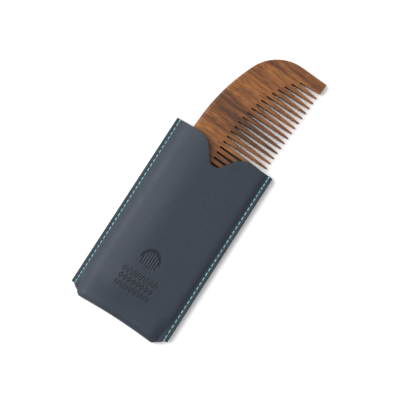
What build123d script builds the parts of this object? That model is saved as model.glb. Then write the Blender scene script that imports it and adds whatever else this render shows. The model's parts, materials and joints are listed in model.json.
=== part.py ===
from build123d import *
import math
import os

# A wooden half-moon beard comb in a sleeve made from one strip of leather. The strip is folded over at
# the sleeve's bottom end, and its two layers are cemented and lock-stitched along both long sides.
# The sleeve lies on its back: Z is up, the mouth is at +Y and the comb's teeth point to +X.
# The origin is the middle of the back panel's rest face. All lengths are in millimetres.

os.makedirs("parts", exist_ok=True)

# Sleeve
sleeve_length = 101.3
sleeve_width = 56.6
leather_thickness = 1.3
cement_thickness = 0.15
seam_width = 2.95  # cemented margin along each long side
seam_lift = 0.9  # the seams curl up this far above the rest face
seam_end_y = -46.1  # the seams stop short of the fold
pocket_flat = 23.4  # half width of the back panel's flat middle
back_curl_end = 24.7
back_curl_radius = 1.8
fold_inner_radius = 1.7
fold_corner_x = 22.3  # half width of the fold line
left_corner_step = 1.9  # how far the strip steps in at the end of each seam
right_corner_step = 2.5
right_corner_y = -46.9
right_corner_radius = 1.8
slope_head_y = -33.0  # the front panel comes down from here
slope_foot_y = -45.5  # to here, where the fold begins
slope_head_z = 7.2
slope_radius = 20.0

# Corners of the pocket's cross-section under the front panel, as (x, z), with the radius of each. It is
# highest over the comb's spine, on the left, and lowest over the tips of the teeth.
left_flank_top = (-20.6, 6.55)
left_flank_radius = 3.5
crown = (-10.0, 6.9)
crown_radius = 40.0
right_flank_top = (22.8, 3.95)
right_flank_radius = 5.0

# Thumb notch in the front panel: a V with rounded shoulders and a round bottom
notch_half_width = 10.3
notch_depth = 13.8  # to the V's corner, before it is rounded
notch_shoulder_radius = 8.0
notch_bottom_radius = 3.9

# Stitching
stitch_inset = 1.95
thread_radius = 0.33
stitch_height = 0.4
stitch_hole_radius = 0.4
leg_cap = 0.12  # the thread's legs stand this far out of their holes
first_hole_y = 49.0

# Comb
comb_tilt = 2.67  # degrees between the comb's long axis and the sleeve's
comb_tips_x = 23.25  # middle of the line through the tooth tips
comb_tips_y = 54.9
comb_clearance = 0.3  # between the comb and the back panel
comb_height = 42.2
tip_thickness = 1.8
spine_thickness = 4.6
spine_radius = 100.0
shoulder_radius = 22.0
shoulder_x = 28.2  # centre of each shoulder arc, along the comb
spine_edge_round = 1.9
gap_count = 29
gap_pitch = 3.084
gap_root_width = 0.75
gap_tip_width = 1.75
gap_mouth_width = 2.35
gap_flare_height = 4.0  # the teeth narrow faster below this height
root_half_length = 48.2  # the roots of the gaps lie on half an ellipse
root_height = 25.4
tooth_tip_radius = 0.32
tooth_edge_round = 0.25

# Heights through a seam, from the rest face up
seam_back_z = seam_lift + leather_thickness
seam_front_z = seam_back_z + cement_thickness
seam_top_z = seam_front_z + leather_thickness
seam_middle_z = seam_back_z + cement_thickness / 2
back_curl_z = seam_back_z - 0.05
half_width = sleeve_width / 2
half_length = sleeve_length / 2
pocket_half_width = half_width - seam_width
stitch_x = half_width - stitch_inset
reach = 80.0  # more than half the sleeve, for extrusions that are cut back


def corners_at(sketch, *points):
    """The sketch's corners that lie at these points."""
    found = []
    for corner in sketch.vertices():
        if any(math.hypot(corner.X - x, corner.Y - y) < 0.001 for x, y in points):
            found.append(corner)
    return found


# The pocket: its cross-section along the sleeve, cut back by the rounded inside of the fold

with BuildSketch(Plane.XZ) as pocket_section:
    with BuildLine():
        Polyline(
            (-pocket_half_width, seam_back_z),
            (-back_curl_end, back_curl_z),
            (-pocket_flat, leather_thickness),
            (pocket_flat, leather_thickness),
            (back_curl_end, back_curl_z),
            (pocket_half_width, seam_back_z),
            (pocket_half_width, seam_front_z),
            right_flank_top,
            crown,
            left_flank_top,
            (-pocket_half_width, seam_front_z),
            close=True,
        )
    make_face()
    back_curls = corners_at(
        pocket_section,
        (-pocket_flat, leather_thickness),
        (pocket_flat, leather_thickness),
        (-back_curl_end, back_curl_z),
        (back_curl_end, back_curl_z),
    )
    fillet(back_curls, back_curl_radius)
    fillet(corners_at(pocket_section, right_flank_top), right_flank_radius)
    fillet(corners_at(pocket_section, crown), crown_radius)
    fillet(corners_at(pocket_section, left_flank_top), left_flank_radius)

fold_centre_y = -half_length + leather_thickness + fold_inner_radius
fold_centre_z = leather_thickness + fold_inner_radius
fold_bottom = (fold_centre_y, fold_centre_z - fold_inner_radius)
fold_top = (fold_centre_y, fold_centre_z + fold_inner_radius)
slope_foot = (slope_foot_y, fold_centre_z + fold_inner_radius)
slope_head = (slope_head_y, slope_head_z)

with BuildSketch(Plane.YZ) as fold_profile:
    with BuildLine():
        Line((reach, leather_thickness), fold_bottom)
        ThreePointArc(fold_bottom, (fold_centre_y - fold_inner_radius, fold_centre_z), fold_top)
        Polyline(fold_top, slope_foot, slope_head, (reach, slope_head_z), (reach, leather_thickness))
    make_face()
    fillet(corners_at(fold_profile, slope_foot, slope_head), slope_radius)

with BuildPart() as pocket:
    extrude(pocket_section.sketch, amount=reach, both=True)
    extrude(fold_profile.sketch, amount=reach, both=True, mode=Mode.INTERSECT)

# The strip's outside is the pocket's outline a leather thickness further out, with the flat seams beside it.

with BuildSketch(Plane.XZ) as strip_section:
    add(pocket_section.sketch_local)
    offset(amount=leather_thickness)
    seam_centre_x = half_width - seam_width / 2
    with Locations((seam_centre_x, seam_middle_z), (-seam_centre_x, seam_middle_z)):
        Rectangle(seam_width, seam_top_z - seam_lift)

with BuildSketch(Plane.YZ) as strip_fold_profile:
    add(fold_profile.sketch_local)
    offset(amount=leather_thickness)

with BuildSketch() as strip_outline:
    with BuildLine():
        Polyline(
            (-half_width, half_length),
            (-half_width, seam_end_y),
            (-half_width + left_corner_step, seam_end_y),
            (-fold_corner_x, -half_length),
            (-fold_corner_x, -reach),
            (fold_corner_x, -reach),
            (fold_corner_x, -half_length),
            (half_width - right_corner_step, right_corner_y),
            (half_width - right_corner_step, seam_end_y),
            (half_width, seam_end_y),
            (half_width, half_length),
            close=True,
        )
    make_face()
    right_corner = (half_width - right_corner_step, right_corner_y)
    fillet(corners_at(strip_outline, right_corner), right_corner_radius)

notch_top_y = half_length + 5
notch_tangent = notch_shoulder_radius * math.tan(math.atan2(notch_depth, notch_half_width) / 2)

with BuildSketch(Plane.XY.offset(seam_front_z)) as thumb_notch:
    with BuildLine():
        Polyline(
            (-notch_half_width - notch_tangent - 1, half_length),
            (-notch_half_width, half_length),
            (0, half_length - notch_depth),
            (notch_half_width, half_length),
            (notch_half_width + notch_tangent + 1, half_length),
            (notch_half_width + notch_tangent + 1, notch_top_y),
            (-notch_half_width - notch_tangent - 1, notch_top_y),
            close=True,
        )
    make_face()
    shoulders = thumb_notch.vertices().group_by(Axis.Y)[1].sort_by(Axis.X)[1:3]
    fillet(shoulders, notch_shoulder_radius)
    fillet(thumb_notch.vertices().group_by(Axis.Y)[0], notch_bottom_radius)


def hole_rows(groups):
    """Y positions of a seam's stitch holes, from the mouth down, for groups of (stitches, pitch)."""
    holes = [first_hole_y]
    for count, pitch in groups:
        for _ in range(count):
            holes.append(holes[-1] - pitch)
    return holes


# The left seam is back-tacked at the fold and the right one at the mouth, with shorter stitches.
seams = {
    "left": (-stitch_x, hole_rows([(32, 2.68), (4, 2.2)])),
    "right": (stitch_x, hole_rows([(5, 2.15), (26, 2.76), (4, 3.0)])),
}
hole_centres = [(seam_x, hole_y) for seam_x, holes in seams.values() for hole_y in holes]

with BuildSketch() as stitch_holes:
    with Locations(*hole_centres):
        Circle(stitch_hole_radius)

with BuildPart() as sleeve:
    extrude(strip_section.sketch, amount=reach, both=True)
    extrude(strip_fold_profile.sketch, amount=reach, both=True, mode=Mode.INTERSECT)
    extrude(strip_outline.sketch, amount=reach, both=True, mode=Mode.INTERSECT)
    add(pocket.part, mode=Mode.SUBTRACT)
    with BuildSketch(Plane.XY.offset(seam_back_z)):
        with Locations((half_width, 0), (-half_width, 0)):
            Rectangle(2 * seam_width, 2 * (half_length - leather_thickness))
        with Locations((half_width, half_length), (-half_width, half_length)):
            Rectangle(2 * seam_width, 4 * leather_thickness)
    extrude(amount=cement_thickness, mode=Mode.SUBTRACT)
    extrude(thumb_notch.sketch, amount=reach, mode=Mode.SUBTRACT)
    extrude(stitch_holes.sketch, amount=seam_top_z + 1, mode=Mode.SUBTRACT)
sleeve.part.label = "sleeve_leather"
export_step(sleeve.part, "parts/sleeve_leather.step")


# Cement films and threads of the two seams

def seam_cement(side, seam_x, holes):
    film_length = half_length - seam_end_y
    film_x = math.copysign(half_width - seam_width / 2, seam_x)
    with BuildPart() as film:
        with BuildSketch(Plane.XY.offset(seam_back_z)):
            with Locations((film_x, half_length - film_length / 2)):
                Rectangle(seam_width, film_length)
            with Locations(*[(seam_x, hole_y) for hole_y in holes]):
                Circle(stitch_hole_radius, mode=Mode.SUBTRACT)
        extrude(amount=cement_thickness)
    film.part.label = f"{side}_seam_cement"
    export_step(film.part, f"parts/{side}_seam_cement.step")


def seam_thread(name, seam_x, holes, face_z, outward):
    """Stitches as half spindles on the face at face_z, joined by legs that meet inside the seam."""
    leg_end_z = face_z + outward * leg_cap
    with BuildPart() as thread:
        with BuildSketch(Plane.XY.offset(min(leg_end_z, seam_middle_z))):
            with Locations(*[(seam_x, hole_y) for hole_y in holes]):
                Circle(thread_radius)
        extrude(amount=abs(leg_end_z - seam_middle_z))
        with BuildSketch(Plane.XY.offset(face_z)):
            for start_y, end_y in zip(holes, holes[1:]):
                stitch_middle = (seam_x - outward * stitch_height, (start_y + end_y) / 2)
                with BuildLine():
                    ThreePointArc((seam_x, start_y), stitch_middle, (seam_x, end_y))
                    Line((seam_x, end_y), (seam_x, start_y))
                make_face()
        revolve(axis=Axis((seam_x, 0, face_z), (0, 1, 0)), revolution_arc=180)
    thread.part.label = name
    export_step(thread.part, f"parts/{name}.step")


for side, (seam_x, holes) in seams.items():
    seam_cement(side, seam_x, holes)
    seam_thread(f"{side}_needle_thread", seam_x, holes, seam_top_z, 1)
    seam_thread(f"{side}_bobbin_thread", seam_x, holes, seam_lift, -1)


# The comb, drawn on its own middle plane: X along the comb, Y from the tips up to the spine.
# Its two faces are planes that close towards the tips, and its lower face lies flat in the pocket.

wedge_angle = math.degrees(math.atan((spine_thickness - tip_thickness) / 2 / comb_height))
comb_z = leather_thickness + comb_clearance + tip_thickness / 2
comb_place = Location((comb_tips_x, comb_tips_y, comb_z), (0, 0, 90 - comb_tilt))
comb_plane = Plane(comb_place * Location((0, 0, 0), (wedge_angle, 0, 0)))
comb_cross_plane = Plane(comb_plane.origin, x_dir=comb_plane.y_dir, z_dir=comb_plane.x_dir)

spine_centre_y = comb_height - spine_radius
arc_distance = spine_radius - shoulder_radius
shoulder_y = spine_centre_y + math.sqrt(arc_distance**2 - shoulder_x**2)
arc_ratio = spine_radius / arc_distance
arc_joint_x = shoulder_x * arc_ratio
arc_joint_y = spine_centre_y + (shoulder_y - spine_centre_y) * arc_ratio
shoulder_end_x = shoulder_x + shoulder_radius


def gap_root_y(gap_x):
    return root_height * math.sqrt(1 - (gap_x / root_half_length) ** 2)


def borders_a_tooth(edge):
    """True for an edge of a broad face that runs round the teeth, short of the comb's two ends."""
    middle = comb_plane.to_local_coords(edge @ 0.5)
    return abs(middle.X) < shoulder_end_x - spine_edge_round / 2 and 0.02 < middle.Y < root_height + 1


gap_positions = [(index - (gap_count - 1) / 2) * gap_pitch for index in range(gap_count)]

with BuildSketch() as comb_outline:
    with BuildLine():
        Line((-shoulder_end_x, 0), (-shoulder_end_x, shoulder_y))
        RadiusArc((-shoulder_end_x, shoulder_y), (-arc_joint_x, arc_joint_y), shoulder_radius)
        RadiusArc((-arc_joint_x, arc_joint_y), (arc_joint_x, arc_joint_y), spine_radius)
        RadiusArc((arc_joint_x, arc_joint_y), (shoulder_end_x, shoulder_y), shoulder_radius)
        Line((shoulder_end_x, shoulder_y), (shoulder_end_x, 0))
        Line((shoulder_end_x, 0), (-shoulder_end_x, 0))
    make_face()
    for gap_x in gap_positions:
        left_root = (gap_x - gap_root_width / 2, gap_root_y(gap_x))
        right_root = (gap_x + gap_root_width / 2, gap_root_y(gap_x))
        with BuildLine():
            Line(left_root, (gap_x - gap_tip_width / 2, gap_flare_height))
            Line((gap_x - gap_tip_width / 2, gap_flare_height), (gap_x - gap_mouth_width / 2, 0))
            Line((gap_x - gap_mouth_width / 2, 0), (gap_x + gap_mouth_width / 2, 0))
            Line((gap_x + gap_mouth_width / 2, 0), (gap_x + gap_tip_width / 2, gap_flare_height))
            Line((gap_x + gap_tip_width / 2, gap_flare_height), right_root)
            RadiusArc(right_root, left_root, -gap_root_width / 2)
        make_face(mode=Mode.SUBTRACT)
    tooth_tips = comb_outline.vertices().group_by(Axis.Y)[0].sort_by(Axis.X)[1:-1]
    fillet(tooth_tips, tooth_tip_radius)

with BuildPart() as comb:
    extrude(comb_plane * comb_outline.sketch, amount=spine_thickness, both=True)
    with BuildSketch(comb_cross_plane):
        with BuildLine():
            Polyline(
                (0, -tip_thickness / 2),
                (comb_height, -spine_thickness / 2),
                (comb_height, spine_thickness / 2),
                (0, tip_thickness / 2),
                close=True,
            )
        make_face()
    extrude(amount=reach, both=True, mode=Mode.INTERSECT)
    with BuildLine(comb_plane) as comb_rim:
        Line((-shoulder_end_x, -1), (-shoulder_end_x, shoulder_y))
        RadiusArc((-shoulder_end_x, shoulder_y), (-arc_joint_x, arc_joint_y), shoulder_radius)
        RadiusArc((-arc_joint_x, arc_joint_y), (arc_joint_x, arc_joint_y), spine_radius)
        RadiusArc((arc_joint_x, arc_joint_y), (shoulder_end_x, shoulder_y), shoulder_radius)
        Line((shoulder_end_x, shoulder_y), (shoulder_end_x, -1))
    rim_plane = Plane(comb_rim.wire() @ 0, x_dir=-comb_plane.x_dir, z_dir=comb_plane.y_dir)
    with BuildSketch(rim_plane) as rim_waste:
        with Locations((0, 0)):
            Rectangle(2 * spine_edge_round, 2 * spine_thickness)
        with Locations((-spine_edge_round, 0)):
            rounding = spine_edge_round * 0.999
            RectangleRounded(2 * spine_edge_round, spine_thickness, rounding, mode=Mode.SUBTRACT)
            inside = (Align.MAX, Align.CENTER)
            Rectangle(2 * rounding, 2 * spine_thickness, align=inside, mode=Mode.SUBTRACT)
    sweep(sections=rim_waste.sketch, path=comb_rim.wire(), mode=Mode.SUBTRACT)
    broad_faces = comb.faces().sort_by(SortBy.AREA)[-2:]
    tooth_edges = [edge for edge in broad_faces.edges() if borders_a_tooth(edge)]
    fillet(tooth_edges, tooth_edge_round)
comb.part.label = "comb"
export_step(comb.part, "parts/comb.step")
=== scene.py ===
import json
import math

import bpy
from mathutils import Matrix, Vector, noise


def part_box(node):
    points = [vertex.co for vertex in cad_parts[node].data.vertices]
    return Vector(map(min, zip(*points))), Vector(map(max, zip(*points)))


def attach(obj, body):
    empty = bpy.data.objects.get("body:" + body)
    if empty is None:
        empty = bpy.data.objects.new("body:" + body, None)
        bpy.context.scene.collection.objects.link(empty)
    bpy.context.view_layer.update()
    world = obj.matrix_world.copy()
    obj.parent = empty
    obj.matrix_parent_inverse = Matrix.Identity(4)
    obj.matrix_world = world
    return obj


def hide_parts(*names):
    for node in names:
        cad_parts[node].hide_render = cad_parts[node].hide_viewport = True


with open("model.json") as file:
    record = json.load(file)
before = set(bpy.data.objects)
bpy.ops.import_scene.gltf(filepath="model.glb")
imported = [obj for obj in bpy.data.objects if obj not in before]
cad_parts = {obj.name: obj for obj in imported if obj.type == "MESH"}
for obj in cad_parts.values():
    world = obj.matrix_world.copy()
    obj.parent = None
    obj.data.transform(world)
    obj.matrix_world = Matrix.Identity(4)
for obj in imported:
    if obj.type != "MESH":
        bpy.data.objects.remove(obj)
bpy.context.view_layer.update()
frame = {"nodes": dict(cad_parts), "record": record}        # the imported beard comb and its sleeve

mm = 0.001
sleeveLow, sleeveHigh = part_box("sleeve_leather")
combSlide = frame["record"]["behaviour"]["joints"][0]
combAxis = Vector(combSlide["axis"]).normalized()
combLean = math.atan2(combAxis.x, combAxis.y)
print("frame loaded:", ", ".join(sorted(frame["nodes"])))


def deselectAll():
    if bpy.context.object and bpy.context.object.mode != "OBJECT":
        bpy.ops.object.mode_set(mode="OBJECT")
    bpy.ops.object.select_all(action="DESELECT")


def pick(piece):
    deselectAll()
    piece.select_set(True)
    bpy.context.view_layer.objects.active = piece


def addModifier(piece, kind, **settings):
    # adds a modifier and applies it at once
    pick(piece)
    modifier = piece.modifiers.new(kind.title(), kind)
    for name, value in settings.items():
        setattr(modifier, name, value)
    bpy.ops.object.modifier_apply(modifier=modifier.name)


def smoothStep(t):
    t = min(max(t, 0.0), 1.0)
    return t * t * (3 - 2 * t)


def curveThrough(points, x):
    # a smooth height through (x, z) points, level at both ends
    if x <= points[0][0]:
        return points[0][1]
    if x >= points[-1][0]:
        return points[-1][1]
    slopes = [0.0]
    for before, after in zip(points, points[2:]):
        slopes.append((after[1] - before[1]) / (after[0] - before[0]))
    slopes.append(0.0)
    for i in range(len(points) - 1):
        x0, z0 = points[i]
        x1, z1 = points[i + 1]
        if x <= x1:
            w = x1 - x0
            t = (x - x0) / w
            t2, t3 = t * t, t * t * t
            return (
                z0 * (2 * t3 - 3 * t2 + 1)
                + slopes[i] * w * (t3 - 2 * t2 + t)
                + z1 * (3 * t2 - 2 * t3)
                + slopes[i + 1] * w * (t3 - t2)
            )


cameraSpot = {
    "target": (3.55 * mm, 22.2 * mm, 0),
    "distance": 458 * mm,
    "lean": 1.86,  # degrees from straight above, towards the fold
    "side": 0.38,  # and towards the teeth
    "roll": 32.9,
    "lens": 82.0,
    "sensor": 36.0,
}


def makeCamera():
    lean, side = math.radians(cameraSpot["lean"]), math.radians(cameraSpot["side"])
    roll = math.radians(cameraSpot["roll"])
    back = Vector((math.sin(side) * math.cos(lean), -math.sin(lean), math.cos(side) * math.cos(lean)))
    right = Vector((0, 1, 0)).cross(back).normalized()
    up = back.cross(right)
    cameraX = right * math.cos(roll) + up * math.sin(roll)
    cameraY = up * math.cos(roll) - right * math.sin(roll)
    place = Matrix((cameraX, cameraY, back)).transposed().to_4x4()
    place.translation = Vector(cameraSpot["target"]) + back * cameraSpot["distance"]
    deselectAll()
    bpy.ops.object.camera_add()
    camera = bpy.context.object
    camera.matrix_world = place
    camera.data.lens = cameraSpot["lens"]
    camera.data.sensor_width = cameraSpot["sensor"]
    camera.data.clip_start = 0.01
    bpy.context.scene.camera = camera


studio = {
    "floorColour": (0.93, 0.93, 0.935, 1),
    "floorRoughness": 0.9,
    "floorSize": 6.0,
    "world": 0.58,
    "left": {"place": (-0.52, -0.05, 0.60), "size": 0.7, "power": 7.6},
    "top": {"place": (-0.1, 0.3, 1.1), "size": 1.2, "power": 2.5},
}


def makeStudio():
    deselectAll()
    bpy.ops.mesh.primitive_plane_add(size=studio["floorSize"])
    floor = bpy.context.object
    floor.name = "studioFloor"
    paper = bpy.data.materials.new("studioPaper")
    paper.use_nodes = True
    shader = paper.node_tree.nodes["Principled BSDF"]
    shader.inputs["Base Color"].default_value = studio["floorColour"]
    shader.inputs["Roughness"].default_value = studio["floorRoughness"]
    floor.data.materials.append(paper)
    for name in ("left", "top"):
        lamp = studio[name]
        bpy.ops.object.light_add(type="AREA", location=lamp["place"])
        light = bpy.context.object
        light.data.shape = "DISK"
        light.data.size = lamp["size"]
        light.data.energy = lamp["power"]
        aim = Vector(cameraSpot["target"]) - Vector(lamp["place"])
        light.rotation_euler = aim.to_track_quat("-Z", "Y").to_euler()
    world = bpy.data.worlds.new("studioWorld")
    bpy.context.scene.world = world
    world.use_nodes = True
    sky = world.node_tree.nodes["Background"]
    sky.inputs["Color"].default_value = (1, 1, 1, 1)
    sky.inputs["Strength"].default_value = studio["world"]
    bpy.context.scene.view_settings.view_transform = "Standard"


makeCamera()
makeStudio()
print("camera and studio made")


def addNode(tree, kind, values=None, **settings):
    node = tree.nodes.new(kind)
    for name, value in settings.items():
        setattr(node, name, value)
    for name, value in (values or {}).items():
        if hasattr(value, "is_output"):
            tree.links.new(value, node.inputs[name])
        else:
            node.inputs[name].default_value = value
    return node


def mapped(tree, scale, turn=0.0):
    # the piece's own coordinates, turned about the upright axis and then scaled
    coords = addNode(tree, "ShaderNodeTexCoord")
    turned = addNode(
        tree, "ShaderNodeMapping",
        {"Vector": coords.outputs["Object"], "Rotation": (0, 0, turn)},
    )
    scaled = addNode(tree, "ShaderNodeMapping", {"Vector": turned.outputs["Vector"], "Scale": scale})
    return scaled.outputs["Vector"]


def mathNode(tree, operation, first, second=0.0, clamp=False):
    node = addNode(tree, "ShaderNodeMath", {0: first, 1: second}, operation=operation, use_clamp=clamp)
    return node.outputs[0]


def mixColour(tree, factor, first, second):
    node = addNode(tree, "ShaderNodeMix", data_type="RGBA")
    for index, value in ((0, factor), (6, first), (7, second)):
        if hasattr(value, "is_output"):
            tree.links.new(value, node.inputs[index])
        else:
            node.inputs[index].default_value = value
    return node.outputs[2]


def remap(tree, value, low, high, toLow=0.0, toHigh=1.0):
    node = addNode(
        tree, "ShaderNodeMapRange",
        {"Value": value, "From Min": low, "From Max": high, "To Min": toLow, "To Max": toHigh},
    )
    return node.outputs["Result"]


def ramp(tree, factor, stops):
    node = addNode(tree, "ShaderNodeValToRGB", {"Fac": factor})
    while len(node.color_ramp.elements) < len(stops):
        node.color_ramp.elements.new(0.5)
    for element, (position, colour) in zip(node.color_ramp.elements, stops):
        element.position = position
        element.color = colour
    return node.outputs["Color"]


def newGroup(name, inputs, outputs):
    group = bpy.data.node_groups.new(name, "ShaderNodeTree")
    for socketName, kind, default in inputs:
        socket = group.interface.new_socket(name=socketName, in_out="INPUT", socket_type=kind)
        if default is not None:
            socket.default_value = default
    for socketName, kind in outputs:
        group.interface.new_socket(name=socketName, in_out="OUTPUT", socket_type=kind)
    start = group.nodes.new("NodeGroupInput")
    end = group.nodes.new("NodeGroupOutput")
    return group, start.outputs, end.inputs


# numbers of the three shared groups
sharedLook = {
    "mottleScale": 60.0,
    "mottleFiner": 5.3,  # how much finer the second noise is
    "mottleShares": (0.7, 0.3),
    "mottleGain": 2.5,
    "fibreRoughness": 0.62,
    "fibreDistortion": 0.25,
    "fibreFiner": 2.7,
    "fibreRange": (0.3, 0.7),
    # the painted corner shade, from ambient occlusion
    "shadeReach": 1.5 * mm,
    "shadeAmount": 0.5,
    "shadeRange": (0.92, 0.35),  # openness where it starts and where it is full
}


def makeMottleGroup():
    # soft uneven tone, as handling and dye leave it, from 0 to 1
    group, given, out = newGroup(
        "mottle",
        [
            ("Vector", "NodeSocketVector", None),
            ("Scale", "NodeSocketFloat", sharedLook["mottleScale"]),
            ("Contrast", "NodeSocketFloat", 1.0),
        ],
        [("Tone", "NodeSocketFloat")],
    )
    broad = addNode(
        group, "ShaderNodeTexNoise",
        {"Vector": given["Vector"], "Scale": given["Scale"], "Detail": 4.0},
    )
    finer = mathNode(group, "MULTIPLY", given["Scale"], sharedLook["mottleFiner"])
    fine = addNode(group, "ShaderNodeTexNoise", {"Vector": given["Vector"], "Scale": finer, "Detail": 3.0})
    broadShare, fineShare = sharedLook["mottleShares"]
    broadPart = mathNode(group, "MULTIPLY", broad.outputs[0], broadShare)
    finePart = mathNode(group, "MULTIPLY", fine.outputs[0], fineShare)
    both = mathNode(group, "ADD", broadPart, finePart)
    centred = mathNode(group, "MULTIPLY", mathNode(group, "SUBTRACT", both, 0.5), given["Contrast"])
    raised = mathNode(group, "MULTIPLY", centred, sharedLook["mottleGain"])
    group.links.new(mathNode(group, "ADD", raised, 0.5, clamp=True), out["Tone"])
    return group


def makeFibreGroup():
    # fine fibres: a height and a tone that run along the vector's X
    group, given, out = newGroup(
        "fibres",
        [("Vector", "NodeSocketVector", None), ("Fineness", "NodeSocketFloat", 1.0)],
        [("Height", "NodeSocketFloat"), ("Tone", "NodeSocketFloat")],
    )
    first = addNode(
        group, "ShaderNodeTexNoise",
        {
            "Vector": given["Vector"],
            "Scale": given["Fineness"],
            "Detail": 6.0,
            "Roughness": sharedLook["fibreRoughness"],
            "Distortion": sharedLook["fibreDistortion"],
        },
    )
    finer = mathNode(group, "MULTIPLY", given["Fineness"], sharedLook["fibreFiner"])
    second = addNode(group, "ShaderNodeTexNoise", {"Vector": given["Vector"], "Scale": finer, "Detail": 3.0})
    group.links.new(mathNode(group, "MULTIPLY", first.outputs[0], second.outputs[0]), out["Height"])
    group.links.new(remap(group, first.outputs[0], *sharedLook["fibreRange"]), out["Tone"])
    return group


def makePaintedShadeGroup():
    # painted shade from ambient occlusion, darker in the corners: from 0 in the open to 1 deep inside
    group, given, out = newGroup(
        "paintedCornerShade",
        [
            ("Reach", "NodeSocketFloat", sharedLook["shadeReach"]),
            ("Amount", "NodeSocketFloat", sharedLook["shadeAmount"]),
        ],
        [("Mask", "NodeSocketFloat")],
    )
    hidden = addNode(
        group, "ShaderNodeAmbientOcclusion", {"Distance": given["Reach"]},
        samples=6, only_local=True,
    )
    closed = remap(group, hidden.outputs["AO"], *sharedLook["shadeRange"])
    group.links.new(mathNode(group, "MULTIPLY", closed, given["Amount"], clamp=True), out["Mask"])
    return group


mottle = makeMottleGroup()
fibres = makeFibreGroup()
paintedCornerShade = makePaintedShadeGroup()


def useGroup(tree, group, values):
    node = tree.nodes.new("ShaderNodeGroup")
    node.node_tree = group
    for name, value in values.items():
        if hasattr(value, "is_output"):
            tree.links.new(value, node.inputs[name])
        else:
            node.inputs[name].default_value = value
    return node


def newMaterial(name):
    material = bpy.data.materials.new(name)
    material.use_nodes = True
    tree = material.node_tree
    return material, tree, tree.nodes["Principled BSDF"]


def bumpInto(tree, shader, height, distance, strength=1.0):
    bump = addNode(tree, "ShaderNodeBump", {"Height": height, "Distance": distance, "Strength": strength})
    tree.links.new(bump.outputs["Normal"], shader.inputs["Normal"])


combWood = {
    "dark": (0.034, 0.010, 0.003, 1),
    "middle": (0.165, 0.053, 0.011, 1),
    "light": (0.320, 0.120, 0.027, 1),
    "toneStops": (0.32, 0.46, 0.68),  # where the three colours stand
    "bandScale": (9, 85, 30),  # broad growth bands, long along the teeth
    "bandDistortion": 1.1,
    "bandShare": 0.66,
    "streakScale": (45, 560, 160),
    "streakShare": 0.32,
    # colour of the pores, also used for the painted shade between the teeth
    "poreAndShadeColour": (0.022, 0.007, 0.003, 1),
    "poreScale": (230, 2100, 700),
    "poreDistortion": 0.1,
    "poreRange": (0.48, 0.66),
    "poreTone": 0.7,
    "poreDepth": 0.7,
    "lipShadowAlong": (53 * mm, 38 * mm),  # painted shadow of the sleeve's mouth: along the comb, the wood darkens from the first to the second
    "lipShadowAmount": 0.7,
    "tipDarkening": (-6 * mm, 8 * mm),  # and the wood also darkens across the comb, towards the tips of the teeth
    "tipAmount": 0.16,
    "polishScale": 45.0,
    "polishContrast": 0.8,
    "polishAmount": 0.18,
    # painted shade between the teeth
    "shadeReach": 2.2 * mm,
    "shadeAmount": 0.75,
    "roughness": (0.42, 0.60),
    "specular": 0.35,
    "bump": 0.06 * mm,
    "bumpStrength": 0.8,
}


def makeCombWood():
    material, tree, shader = newMaterial("combWood")
    band = addNode(
        tree, "ShaderNodeTexNoise",
        {
            "Vector": mapped(tree, combWood["bandScale"], combLean),
            "Scale": 1.0,
            "Detail": 5.0,
            "Distortion": combWood["bandDistortion"],
        },
    )
    streakPlace = mapped(tree, combWood["streakScale"], combLean)
    streak = useGroup(tree, fibres, {"Vector": streakPlace, "Fineness": 1.0})
    tone = mathNode(tree, "MULTIPLY", band.outputs[0], combWood["bandShare"])
    streakPart = mathNode(tree, "MULTIPLY", streak.outputs["Tone"], combWood["streakShare"])
    tone = mathNode(tree, "ADD", tone, streakPart)
    shades = (combWood["dark"], combWood["middle"], combWood["light"])
    colour = ramp(tree, tone, list(zip(combWood["toneStops"], shades)))
    pores = addNode(
        tree, "ShaderNodeTexNoise",
        {
            "Vector": mapped(tree, combWood["poreScale"], combLean),
            "Scale": 1.0,
            "Detail": 3.0,
            "Distortion": combWood["poreDistortion"],
        },
    )
    poreMask = remap(tree, pores.outputs[0], *combWood["poreRange"])
    poreTone = mathNode(tree, "MULTIPLY", poreMask, combWood["poreTone"])
    colour = mixColour(tree, poreTone, colour, combWood["poreAndShadeColour"])
    along = addNode(tree, "ShaderNodeSeparateXYZ", {"Vector": mapped(tree, (1, 1, 1), combLean)})
    # painted shadow, darker where the comb lies in the notch and under the sleeve's mouth
    lipShadow = remap(tree, along.outputs["Y"], *combWood["lipShadowAlong"], 0.0, combWood["lipShadowAmount"])
    colour = mixColour(tree, lipShadow, colour, combWood["dark"])
    tips = remap(tree, along.outputs["X"], *combWood["tipDarkening"], 0.0, combWood["tipAmount"])
    colour = mixColour(tree, tips, colour, combWood["dark"])
    polish = useGroup(
        tree, mottle,
        {
            "Vector": mapped(tree, (1, 1, 1)),
            "Scale": combWood["polishScale"],
            "Contrast": combWood["polishContrast"],
        },
    )
    polished = remap(tree, polish.outputs["Tone"], 0, 1, 0.0, combWood["polishAmount"])
    colour = mixColour(tree, polished, colour, combWood["light"])
    # painted shade from ambient occlusion, darker between the teeth
    paintedShade = useGroup(tree, paintedCornerShade, {"Reach": combWood["shadeReach"], "Amount": combWood["shadeAmount"]})
    colour = mixColour(tree, paintedShade.outputs["Mask"], colour, combWood["poreAndShadeColour"])
    tree.links.new(colour, shader.inputs["Base Color"])
    rough = remap(tree, streak.outputs["Tone"], 0, 1, *combWood["roughness"])
    tree.links.new(rough, shader.inputs["Roughness"])
    shader.inputs["Specular IOR Level"].default_value = combWood["specular"]
    poreDepth = mathNode(tree, "MULTIPLY", poreMask, combWood["poreDepth"])
    relief = mathNode(tree, "SUBTRACT", streak.outputs["Height"], poreDepth)
    bumpInto(tree, shader, relief, combWood["bump"], combWood["bumpStrength"])
    return material


comb = frame["nodes"]["comb"]
comb.data.materials.clear()
comb.data.materials.append(makeCombWood())
print("comb finished")


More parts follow.
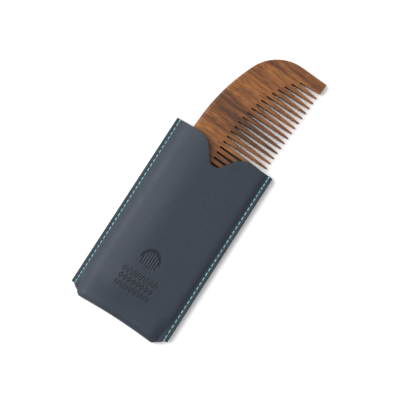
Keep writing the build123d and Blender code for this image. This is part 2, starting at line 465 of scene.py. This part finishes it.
# the sleeve is one strip of leather, folded over at its foot; lengths in millimetres but for "flat"
strip = {
    "flat": (0.0566, 0.2044),  # the strip as cut, before folding, in metres
    "thickness": 1.3,
    "edgeRound": 0.38,
    "edgeAngle": 62,  # degrees, as is the next
    "smoothAngle": 50,
    "seamFlat": 25.35,  # half width of the pocket, inside the seams
    "seamLift": 0.9,
    "cement": 0.15,
    "backCurlStart": 22.6,
    "foldGap": 3.4,
    "foldTaper": 18.5,  # the fold tightens outwards from here
    "foldBow": 0.8,
    "foldBowReach": 14,  # the bow fades out this far above the fold
    "foldCorner": 21.2,
    "slopeEnd": -33.0,  # the front panel comes down from here to the fold
    "seamEnd": -46.1,
    "seamEndStep": 0.45,  # the side steps in over this length
    "middleKept": 19.0,  # half width that the cut corners leave alone
    "leftStep": 1.9,
    "rightStep": 2.5,
    "leftRoundness": 1.35,
    "rightRoundness": 2.6,
    "stitchInset": 1.95,
    "grooveDepth": 0.2,
    "grooveWidth": 0.42,
    "groovePast": 0.2,  # how far the groove runs past the seam's end
    "ripple": 0.05,
    "rippleScale": 0.11,
    "rippleHalf": 24,
    "rippleFade": 4,
    "notchHalf": 10.3,
    "notchDepth": 13.8,
    "notchShoulder": 8.0,
    "notchBottom": 3.9,
    # the pocket's height under the front panel, from seam to seam
    "arch": [
        (-25.35, 2.35), (-24.5, 2.85), (-23.0, 4.2), (-21.7, 5.4), (-20.6, 6.05), (-19.4, 6.36),
        (-17.5, 6.53), (-15.0, 6.68), (-13.0, 6.79), (-10.0, 6.9), (-6.0, 6.8), (-2.0, 6.45),
        (0.0, 6.24), (12.0, 5.0), (19.0, 4.32), (22.6, 3.85), (24.4, 2.75), (25.35, 2.35),
    ],
    "archLift": 0.06,
    "archLiftFade": 3,
}
# how finely the strip is divided
stripMesh = {
    "flankX": 21.0,  # finer columns start here
    "seamX": 25.5,  # and finer ones again here
    "seamPast": 0.9,  # up to this far outside the stitches
    "edgeColumn": 0.42,
    "middleStep": 1.5,
    "flankStep": 0.45,
    "seamStep": 0.2,
    "marginStep": 0.3,
    "backStep": 1.35,
    "foldRows": 16,
    "footStep": 0.5,
    "seamEndReach": 0.5,
    "seamEndStep": 0.12,
    "lowerStep": 0.9,
    "upperStep": 0.95,
    "mouthStart": 20.0,  # rows above this follow the notch
    "mouthRows": 34,
}
ornament = {
    "centre": (-0.4, -17.4),
    "depth": 0.3,
    "softness": 0.16,
    "fineX": (-11.0, 10.4),
    "fineY": (-36.6, -10.6),
    "fineStep": 0.25,
    # a small half-moon comb
    "markRise": 1.5,
    "arcDrop": 0.4,
    "arcRadius": 4.7,
    "arcHalf": 0.85,
    "arcFoot": 0.9,
    "toothPitch": 1.32,
    "toothHalf": 0.36,
    "toothLength": 3.9,
    "toothShorter": 0.34,  # for every tooth further from the middle
    # two rows of slanted bars, with a row of lozenges between them
    "rowsTop": -25.9,
    "rowPitch": 4.0,
    "rowHalfLength": 9.7,
    "rowReach": 2.4,
    "cell": 2.425,
    "barSlant": 0.4,
    "barHalf": 0.34,
    "longBar": 1.45,
    "shortBar": 1.0,
    "lozengeWidth": 1.3,
    "lozengeScale": 1.64,
    "lozengeOutside": 0.95,
    "lozengeInside": 0.42,
    "farAway": 9.0,
}
halfWidth = sleeveHigh.x / mm
mouthY = sleeveHigh.y / mm
foldY = sleeveLow.y / mm
foldCentreY = foldY + strip["thickness"] + strip["foldGap"] / 2


def notchCut(x):
    # how far the front panel's mouth edge is cut back at x
    slope = strip["notchDepth"] / strip["notchHalf"]
    angle = math.atan(slope)
    bottom, shoulder = strip["notchBottom"], strip["notchShoulder"]
    x = abs(x)
    shoulderEnd = strip["notchHalf"] + shoulder * math.tan(angle / 2)
    if x >= shoulderEnd:
        return 0.0
    if x < bottom * math.sin(angle):
        deepest = strip["notchDepth"] - bottom * (1 / math.cos(angle) - 1)
        return deepest - bottom + math.sqrt(bottom**2 - x**2)
    if x > shoulderEnd - shoulder * math.sin(angle):
        return shoulder - math.sqrt(shoulder**2 - (shoulderEnd - x) ** 2)
    return (strip["notchHalf"] - x) * slope


def sideReach(y, side):
    # half width of the cut strip at y: full along the seams, stepped in and slanted below them
    if y >= strip["seamEnd"]:
        return halfWidth
    step = strip["leftStep"] if side < 0 else strip["rightStep"]
    inner = halfWidth - step
    t = (strip["seamEnd"] - y) / (strip["seamEnd"] - foldY)
    roundness = strip["leftRoundness"] if side < 0 else strip["rightRoundness"]
    slanted = inner + (strip["foldCorner"] - inner) * min(t, 1.0) ** roundness
    return halfWidth + (slanted - halfWidth) * smoothStep((strip["seamEnd"] - y) / strip["seamEndStep"])


def acrossAt(u, y):
    # columns keep their place in the middle and follow the cut edge outside it
    side = -1 if u < 0 else 1
    keep = strip["middleKept"]
    if abs(u) <= keep:
        return u
    return side * (keep + (abs(u) - keep) * (sideReach(y, side) - keep) / (halfWidth - keep))


def backInside(x):
    rise = smoothStep((abs(x) - strip["backCurlStart"]) / (strip["seamFlat"] - strip["backCurlStart"]))
    return strip["thickness"] + strip["seamLift"] * rise


def foldGapAt(x):
    tight = smoothStep((abs(x) - strip["foldTaper"]) / (strip["seamFlat"] - strip["foldTaper"]))
    return strip["cement"] + (strip["foldGap"] - strip["cement"]) * (1 - tight)


def frontInside(x, y):
    foldTop = backInside(x) + foldGapAt(x)
    lift = strip["archLift"] * smoothStep((strip["seamFlat"] - abs(x)) / strip["archLiftFade"])
    arch = curveThrough(strip["arch"], x) + lift
    return foldTop + (arch - foldTop) * smoothStep((y - foldCentreY) / (strip["slopeEnd"] - foldCentreY))


def foldShift(x, y):
    # the fold line stands in at its middle
    bow = strip["foldBow"] * max(0.0, 1 - (x / strip["foldCorner"]) ** 2)
    return bow * (1 - smoothStep((y - foldCentreY) / strip["foldBowReach"]))


def spread(start, end, step):
    count = max(1, round(abs(end - start) / step))
    return [start + (end - start) * i / count for i in range(count)]


def stripColumns():
    seamOut = halfWidth - strip["stitchInset"] + stripMesh["seamPast"]
    edge = halfWidth - stripMesh["edgeColumn"]
    half = (
        spread(ornament["fineX"][1], stripMesh["flankX"], stripMesh["middleStep"])
        + spread(stripMesh["flankX"], stripMesh["seamX"], stripMesh["flankStep"])
        + spread(stripMesh["seamX"], seamOut, stripMesh["seamStep"])
        + spread(seamOut, edge, stripMesh["marginStep"])
        + [edge, halfWidth]
    )
    left = [-u for u in half]
    left[0] = ornament["fineX"][0]
    return sorted(left) + spread(*ornament["fineX"], ornament["fineStep"])[1:] + half


def stripRows():
    rows = [("back", y) for y in spread(mouthY, foldCentreY, stripMesh["backStep"])]
    rows += [("fold", i / stripMesh["foldRows"]) for i in range(stripMesh["foldRows"])]
    fine = ornament["fineY"]
    corner = strip["seamEnd"] - stripMesh["seamEndReach"]
    front = spread(foldCentreY, corner, stripMesh["footStep"])
    front += spread(corner, strip["seamEnd"], stripMesh["seamEndStep"])
    front += spread(strip["seamEnd"], fine[0], stripMesh["lowerStep"])
    front += spread(*fine, ornament["fineStep"])
    front += spread(fine[1], stripMesh["mouthStart"], stripMesh["upperStep"])
    rows += [("front", y) for y in front]
    rows += [("mouth", i / stripMesh["mouthRows"]) for i in range(stripMesh["mouthRows"] + 1)]
    return rows


def stripPoint(u, kind, value):
    if kind == "back":
        x = acrossAt(u, value)
        return Vector((x, value + foldShift(x, value), backInside(x)))
    if kind == "fold":
        angle = math.pi * (value - 0.5)
        outside = foldCentreY - (strip["thickness"] + strip["foldGap"] / 2) * math.cos(angle)
        x = acrossAt(u, outside)
        radius = foldGapAt(x) / 2
        centreY = foldCentreY - (strip["foldGap"] / 2 - radius) * math.cos(angle)
        return Vector((
            x,
            centreY - radius * math.cos(angle) + foldShift(x, foldCentreY),
            backInside(x) + radius * (1 + math.sin(angle)),
        ))
    start = stripMesh["mouthStart"]
    y = value if kind == "front" else start + (mouthY - notchCut(u) - start) * value
    x = acrossAt(u, y)
    return Vector((x, y + foldShift(x, y), frontInside(x, y)))


def boxDistance(x, y, halfX, halfY):
    dx, dy = abs(x) - halfX, abs(y) - halfY
    return math.hypot(max(dx, 0), max(dy, 0)) + min(max(dx, dy), 0)


def combMark(x, y):
    # a small half-moon comb, teeth down: signed distance, less than 0 inside
    disc = math.hypot(x, y + ornament["arcDrop"])
    arc = max(abs(disc - ornament["arcRadius"]) - ornament["arcHalf"], -y - ornament["arcFoot"])
    teeth = []
    for i in range(-3, 4):
        length = ornament["toothLength"] - ornament["toothShorter"] * abs(i)
        toothX = x - i * ornament["toothPitch"]
        teeth.append(boxDistance(toothX, y + ornament["arcFoot"], ornament["toothHalf"], length))
    return min(arc, *teeth)


def tooledRows(x, y):
    nearest = ornament["farAway"]
    if abs(x) > ornament["rowHalfLength"]:
        return nearest
    cell = ornament["cell"]
    half = ornament["barHalf"]
    for row in range(3):
        dy = y - (ornament["rowsTop"] - row * ornament["rowPitch"])
        if abs(dy) > ornament["rowReach"]:
            continue
        dx = (x + ornament["rowHalfLength"]) % cell - cell / 2
        if row == 1:
            reach = (abs(dx) * ornament["lozengeWidth"] + abs(dy)) / ornament["lozengeScale"]
            shape = reach - ornament["lozengeOutside"]
            hole = reach - ornament["lozengeInside"]
            nearest = min(nearest, max(shape, -hole))
        else:
            lean = ornament["barSlant"] if row == 0 else -ornament["barSlant"]
            slant = dx - lean * dy
            nearest = min(nearest, boxDistance(slant, dy, half, ornament["longBar"]))
            nearest = min(nearest, boxDistance(slant - cell / 2, dy, half, ornament["shortBar"]))
            nearest = min(nearest, boxDistance(slant + cell / 2, dy, half, ornament["shortBar"]))
    return nearest


def pressed(x, y):
    # how deep the tooled ornament goes at a place, from 0 to 1
    cx, cy = ornament["centre"]
    if not (ornament["fineY"][0] < y < ornament["fineY"][1]):
        return 0.0
    distance = min(combMark(x - cx, y - cy - ornament["markRise"]), tooledRows(x - cx, y))
    return 1 - smoothStep((distance + ornament["softness"]) / (2 * ornament["softness"]))


def makeSleeve():
    columns, rows = stripColumns(), stripRows()
    deselectAll()
    bpy.ops.mesh.primitive_grid_add(x_subdivisions=len(columns) - 1, y_subdivisions=len(rows) - 1, size=1)
    sleeve = bpy.context.object
    sleeve.name = "sleeveLeather"
    places = [stripPoint(u, *row) * mm for row in rows for u in columns]
    for vertex, place in zip(sleeve.data.vertices, places):
        vertex.co = place
    count = len(places)
    middleFront = (rows.index(("fold", 0)) + len(rows)) // 2 * len(columns) + len(columns) // 2
    # the strip's faces must look away from the pocket, so the back panel's look down
    onBack = sleeve.data.polygons[len(sleeve.data.polygons) // 8]
    if onBack.normal.z > 0:
        pick(sleeve)
        bpy.ops.object.mode_set(mode="EDIT")
        bpy.ops.mesh.select_all(action="SELECT")
        bpy.ops.mesh.flip_normals()
        bpy.ops.object.mode_set(mode="OBJECT")
    addModifier(sleeve, "SOLIDIFY", thickness=strip["thickness"] * mm, offset=1.0, use_even_offset=True)
    mesh = sleeve.data
    # the vertices come in two halves, and the higher twin on the front panel is the outer one
    twin = mesh.vertices[middleFront + count].co.z
    outside = 0 if mesh.vertices[middleFront].co.z > twin else count
    stamped = [0.0] * len(mesh.vertices)
    cut = [0.0] * len(mesh.vertices)
    for index in range(2 * count):
        row, column = divmod(index % count, len(columns))
        if row in (0, len(rows) - 1) or column in (0, len(columns) - 1):
            cut[index] = 1.0
    stitch = halfWidth - strip["stitchInset"]
    for index in range(outside, outside + count):
        vertex = mesh.vertices[index]
        kind = rows[(index - outside) // len(columns)][0]
        x, y = (vertex.co / mm).xy
        groove = 0.0
        if y > strip["seamEnd"] - strip["groovePast"]:
            groove = math.exp(-(((abs(x) - stitch) / strip["grooveWidth"]) ** 2))
        if kind in ("front", "mouth"):
            stamp = pressed(x, y)
            stamped[index] = stamp
            ripple = strip["ripple"] * noise.noise(Vector((x, y, 3.0)) * strip["rippleScale"])
            ripple *= smoothStep((strip["rippleHalf"] - abs(x)) / strip["rippleFade"])
            vertex.co.z -= (stamp * ornament["depth"] + groove * strip["grooveDepth"] - ripple) * mm
        elif kind == "back":
            vertex.co.z += groove * strip["grooveDepth"] * mm
    for markName, values in (("stamped", stamped), ("cutEdge", cut)):
        mark = mesh.attributes.new(markName, "FLOAT", "POINT")
        mark.data.foreach_set("value", values)
    addModifier(
        sleeve, "BEVEL", width=strip["edgeRound"] * mm, segments=3, limit_method="ANGLE",
        angle_limit=math.radians(strip["edgeAngle"]), use_clamp_overlap=True,
    )
    pick(sleeve)
    bpy.ops.object.shade_smooth_by_angle(angle=math.radians(strip["smoothAngle"]))
    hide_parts("sleeve_leather")
    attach(sleeve, "sleeve")
    return sleeve


sleeve = makeSleeve()
print("sleeve made:", len(sleeve.data.polygons), "faces")

leather = {
    "colour": (0.0150, 0.0215, 0.033, 1),
    "paler": (0.0245, 0.032, 0.046, 1),
    # the colour of the painted light on the side over the comb's spine
    "paintedLight": (0.050, 0.060, 0.076, 1),
    # dye of the cut edges, also used for the creases and for the painted shade in hollows
    "edge": (0.012, 0.018, 0.022, 1),
    "margin": (0.010, 0.024, 0.030, 1),
    "stamp": (0.005, 0.008, 0.014, 1),
    "mottleScale": 70.0,
    "mottleContrast": 0.9,
    "mottleAmount": 0.5,
    "speckleScale": 700.0,
    "speckleRange": (0.35, 0.65),
    "speckleAmount": 0.75,
    # painted light on the side over the comb's spine
    "litSideX": (-6 * mm, -16 * mm),
    "litSideAmount": 0.34,
    "grainScale": 1500.0,
    "grainShare": 0.7,
    "wrinkleScale": 900.0,
    "creaseRange": (0.6, 1.05),
    "creaseAmount": 0.14,
    # painted shade in the leather's own hollows
    "shadeReach": 1.1 * mm,
    "shadeAmount": 0.3,
    "stampAmount": 0.92,
    "stampRoughness": -0.08,
    "marginX": (26.4 * mm, 27.0 * mm),
    "marginFoot": (-46.6 * mm, -46.0 * mm),
    "marginAmount": 0.45,
    "edgePower": 1.4,
    "edgeAmount": 0.85,
    "edgeSmoother": 0.28,
    "roughness": (0.56, 0.70),
    "specular": 0.34,
    "grainBump": 0.06 * mm,
    "bumpStrength": 0.75,
}


def makeLeather():
    material, tree, shader = newMaterial("slateLeather")
    place = mapped(tree, (1, 1, 1))
    mottled = useGroup(
        tree, mottle,
        {"Vector": place, "Scale": leather["mottleScale"], "Contrast": leather["mottleContrast"]},
    )
    tone = mottled.outputs["Tone"]
    palerMask = remap(tree, tone, 0, 1, 0.0, leather["mottleAmount"])
    colour = mixColour(tree, palerMask, leather["colour"], leather["paler"])
    speckle = addNode(
        tree, "ShaderNodeTexNoise",
        {"Vector": place, "Scale": leather["speckleScale"], "Detail": 3.0, "Roughness": 0.75},
    )
    speckled = remap(tree, speckle.outputs[0], *leather["speckleRange"], 0.0, leather["speckleAmount"])
    colour = mixColour(tree, speckled, colour, leather["paler"])
    # painted light: paler on the side that lies over the comb's spine, where the sleeve's slope faces the
    # lamp
    split = addNode(tree, "ShaderNodeSeparateXYZ", {"Vector": place})
    paintedLitSide = remap(tree, split.outputs["X"], *leather["litSideX"], 0.0, leather["litSideAmount"])
    colour = mixColour(tree, paintedLitSide, colour, leather["paintedLight"])
    cells = addNode(
        tree, "ShaderNodeTexVoronoi", {"Vector": place, "Scale": leather["grainScale"]},
        feature="SMOOTH_F1",
    )
    wrinkle = addNode(
        tree, "ShaderNodeTexNoise",
        {"Vector": place, "Scale": leather["wrinkleScale"], "Detail": 5.0, "Roughness": 0.6},
    )
    grain = mathNode(tree, "MULTIPLY", cells.outputs["Distance"], leather["grainShare"])
    height = mathNode(tree, "ADD", grain, wrinkle.outputs[0])
    creases = remap(tree, height, *leather["creaseRange"], 0.0, leather["creaseAmount"])
    colour = mixColour(tree, creases, colour, leather["edge"])
    # painted shade from ambient occlusion, darker in the leather's own hollows such as the stitch groove
    paintedShade = useGroup(tree, paintedCornerShade, {"Reach": leather["shadeReach"], "Amount": leather["shadeAmount"]})
    colour = mixColour(tree, paintedShade.outputs["Mask"], colour, leather["edge"])
    stamp = addNode(tree, "ShaderNodeAttribute", attribute_name="stamped").outputs["Fac"]
    stampMask = mathNode(tree, "MULTIPLY", stamp, leather["stampAmount"])
    colour = mixColour(tree, stampMask, colour, leather["stamp"])
    # the margin outside the stitches is darker
    fromMiddle = mathNode(tree, "ABSOLUTE", split.outputs["X"])
    margin = remap(tree, fromMiddle, *leather["marginX"], 0.0, leather["marginAmount"])
    aboveFoot = remap(tree, split.outputs["Y"], *leather["marginFoot"])
    margin = mathNode(tree, "MULTIPLY", margin, aboveFoot)
    colour = mixColour(tree, margin, colour, leather["margin"])
    # cut edges, dyed darker and burnished smooth
    cut = addNode(tree, "ShaderNodeAttribute", attribute_name="cutEdge")
    burnished = mathNode(tree, "POWER", cut.outputs["Fac"], leather["edgePower"])
    edgeMask = mathNode(tree, "MULTIPLY", burnished, leather["edgeAmount"])
    colour = mixColour(tree, edgeMask, colour, leather["edge"])
    tree.links.new(colour, shader.inputs["Base Color"])
    rough = remap(tree, tone, 0, 1, *leather["roughness"])
    stampRough = mathNode(tree, "MULTIPLY", stamp, leather["stampRoughness"])
    rough = mathNode(tree, "ADD", rough, stampRough)
    edgeSmooth = mathNode(tree, "MULTIPLY", burnished, leather["edgeSmoother"])
    rough = mathNode(tree, "SUBTRACT", rough, edgeSmooth)
    tree.links.new(rough, shader.inputs["Roughness"])
    shader.inputs["Specular IOR Level"].default_value = leather["specular"]
    bumpInto(tree, shader, height, leather["grainBump"], leather["bumpStrength"])
    return material


sleeve.data.materials.append(makeLeather())


stitching = {
    "radius": 0.29,
    "faceSink": 0.12,  # heights are taken from this far below the seam's face, in the groove
    "crown": 0.14,  # how far the thread's middle stands above that
    "dive": 1.0,  # and how far below it goes at each hole
    "riseShare": 0.36,  # share of a stitch in which it comes up, and again goes down
    "lobe": 0.10,
    "slant": 0.16,
    "twist": 2.0,  # lobes that pass along one stitch
    "sides": 8,
    "rings": 15,
    "firstHole": 49.0,
    "left": [(32, 2.68), (4, 2.2)],
    "right": [(5, 2.15), (26, 2.76), (4, 3.0)],
    "loopSink": 0.5,  # how deep a loop over the strip's edge starts
    "loopShares": (0.18, 0.4),  # where it has come up and where it stands highest
    "loopCrown": 0.17,
    "loopEdgeCrown": 0.14,
    "loopInset": 0.2,
    "loopTurn": 0.22,
    "loopPast": (0.18, 0.25),  # how far it stands out from the cut edge
}
seamTop = strip["seamLift"] + 2 * strip["thickness"] + strip["cement"]


def holeRow(groups):
    holes = [stitching["firstHole"]]
    for count, pitch in groups:
        for _ in range(count):
            holes.append(holes[-1] - pitch)
    return holes


def threadTube(name, path, twist):
    # a two-ply thread along a path in millimetres: a ring, extruded once for every point
    sides, radius = stitching["sides"], stitching["radius"]
    deselectAll()
    bpy.ops.mesh.primitive_circle_add(vertices=sides, radius=radius * mm, fill_type="NGON")
    thread = bpy.context.object
    thread.name = name
    bpy.ops.object.mode_set(mode="EDIT")
    bpy.ops.mesh.select_all(action="SELECT")
    for _ in path[1:]:
        bpy.ops.mesh.extrude_region_move(TRANSFORM_OT_translate={"value": (0, 0, radius * mm)})
    bpy.ops.object.mode_set(mode="OBJECT")
    mesh = thread.data
    order = sorted(range(len(mesh.vertices)), key=lambda i: round(mesh.vertices[i].co.z / (radius * mm)))
    for ring, centre in enumerate(path):
        before, after = path[max(ring - 1, 0)], path[min(ring + 1, len(path) - 1)]
        along = (after - before).normalized()
        side = Vector((1, 0, 0))
        lift = side.cross(along).normalized()
        side = along.cross(lift)
        for i in order[ring * sides:(ring + 1) * sides]:
            spot = mesh.vertices[i].co
            angle = math.atan2(spot.y, spot.x)
            turned = 2 * angle - twist * 2 * math.pi * ring / (len(path) - 1)
            lobe = 1 + stitching["lobe"] * math.cos(turned)
            ray = side * math.cos(angle) + lift * math.sin(angle)
            mesh.vertices[i].co = (centre + ray * radius * lobe) * mm
    pick(thread)
    bpy.ops.object.mode_set(mode="EDIT")
    bpy.ops.mesh.select_all(action="SELECT")
    bpy.ops.mesh.normals_make_consistent(inside=False)
    bpy.ops.object.mode_set(mode="OBJECT")
    bpy.ops.object.shade_smooth()
    return thread


def stitchPath(seamX, startY, endY, faceZ, outward):
    path = []
    last = stitching["rings"] - 1
    for ring in range(stitching["rings"]):
        t = ring / last
        rise = smoothStep(min(t, 1 - t) / stitching["riseShare"])
        height = -stitching["dive"] + (stitching["dive"] + stitching["crown"]) * rise
        path.append(Vector((
            seamX + stitching["slant"] * (t - 0.5) * outward,
            startY + (endY - startY) * t,
            faceZ + outward * height,
        )))
    return path


def endLoop(seamX, hole, edge):
    # the last stitch goes over the strip's edge to the back
    top, bottom = seamTop, strip["seamLift"]
    way = 1 if edge > hole else -1
    reach = abs(edge - hole)
    near, far = (share * reach for share in stitching["loopShares"])
    last = reach - stitching["loopInset"]
    past, furthest = (reach + out for out in stitching["loopPast"])
    sink, turn = stitching["loopSink"], stitching["loopTurn"]
    crown, edgeCrown = stitching["loopCrown"], stitching["loopEdgeCrown"]
    spots = [
        (0, top - sink), (near, top), (far, top + crown), (last, top + edgeCrown), (past, top - turn),
        (furthest, (top + bottom) / 2), (past, bottom + turn), (last, bottom - edgeCrown),
        (far, bottom - crown), (near, bottom), (0, bottom + sink),
    ]
    return [Vector((seamX, hole + way * away, z)) for away, z in spots]


def joinPieces(pieces, name):
    deselectAll()
    for piece in pieces:
        piece.select_set(True)
    bpy.context.view_layer.objects.active = pieces[0]
    bpy.ops.object.join()
    pieces[0].name = name
    return pieces[0]


def makeSeamThread(side, layer, threadMaterial):
    seamX = (halfWidth - strip["stitchInset"]) * (-1 if side == "left" else 1)
    holes = holeRow(stitching[side])
    outward, faceZ = 1, seamTop - stitching["faceSink"]
    if layer == "bobbin":
        outward, faceZ = -1, strip["seamLift"] + stitching["faceSink"]
    stitches = []
    for index, (startY, endY) in enumerate(zip(holes, holes[1:])):
        path = stitchPath(seamX, startY, endY, faceZ, outward)
        stitches.append(threadTube(f"stitch{index}", path, stitching["twist"]))
    if layer == "needle":
        for hole, edge in ((holes[0], mouthY), (holes[-1], strip["seamEnd"])):
            stitches.append(threadTube("endLoop", endLoop(seamX, hole, edge), 2 * stitching["twist"]))
    thread = joinPieces(stitches, f"{side}{layer.title()}Thread")
    thread.data.materials.clear()
    thread.data.materials.append(threadMaterial)
    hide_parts(f"{side}_{layer}_thread")
    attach(thread, "sleeve")
    return thread


threadLook = {
    "colour": (0.085, 0.300, 0.330, 1),
    "paler": (0.260, 0.560, 0.600, 1),
    "deep": (0.020, 0.110, 0.130, 1),
    "plyScale": (2600, 900, 2600),
    "plyTurn": 0.3,
    "wornScale": 160.0,
    "wornContrast": 1.2,
    "wornAmount": 0.35,
    "roughness": (0.45, 0.65),
    "sheen": 0.25,
    "bump": 0.06 * mm,
    "bumpStrength": 0.7,
}


def makeThreadMaterial():
    material, tree, shader = newMaterial("turquoiseThread")
    plyPlace = mapped(tree, threadLook["plyScale"], threadLook["plyTurn"])
    ply = useGroup(tree, fibres, {"Vector": plyPlace, "Fineness": 1.0})
    colour = mixColour(tree, ply.outputs["Tone"], threadLook["colour"], threadLook["paler"])
    worn = useGroup(
        tree, mottle,
        {
            "Vector": mapped(tree, (1, 1, 1)),
            "Scale": threadLook["wornScale"],
            "Contrast": threadLook["wornContrast"],
        },
    )
    wornMask = remap(tree, worn.outputs["Tone"], 0, 1, threadLook["wornAmount"], 0.0)
    colour = mixColour(tree, wornMask, colour, threadLook["deep"])
    tree.links.new(colour, shader.inputs["Base Color"])
    rough = remap(tree, ply.outputs["Tone"], 0, 1, *threadLook["roughness"])
    tree.links.new(rough, shader.inputs["Roughness"])
    shader.inputs["Sheen Weight"].default_value = threadLook["sheen"]
    bumpInto(tree, shader, ply.outputs["Height"], threadLook["bump"], threadLook["bumpStrength"])
    return material


threadMaterial = makeThreadMaterial()
for side in ("left", "right"):
    for layer in ("needle", "bobbin"):
        makeSeamThread(side, layer, threadMaterial)
    print(side, "seam stitched")


# the cement films show only as a line in the cut edge
cementLook = {
    "colour": (0.060, 0.045, 0.028, 1),
    "dark": (0.020, 0.018, 0.015, 1),
    "spotScale": 400.0,
    "spotContrast": 1.5,
    "roughness": (0.35, 0.6),
    "bump": 0.03 * mm,
}


def makeCement():
    material, tree, shader = newMaterial("driedCement")
    spots = useGroup(
        tree, mottle,
        {
            "Vector": mapped(tree, (1, 1, 1)),
            "Scale": cementLook["spotScale"],
            "Contrast": cementLook["spotContrast"],
        },
    )
    tone = spots.outputs["Tone"]
    colour = mixColour(tree, tone, cementLook["dark"], cementLook["colour"])
    tree.links.new(colour, shader.inputs["Base Color"])
    rough = remap(tree, tone, 0, 1, *cementLook["roughness"])
    tree.links.new(rough, shader.inputs["Roughness"])
    bumpInto(tree, shader, tone, cementLook["bump"])
    return material


cement = makeCement()
for side in ("left", "right"):
    film = frame["nodes"][f"{side}_seam_cement"]
    film.data.materials.clear()
    film.data.materials.append(cement)
print("cement finished")

deselectAll()
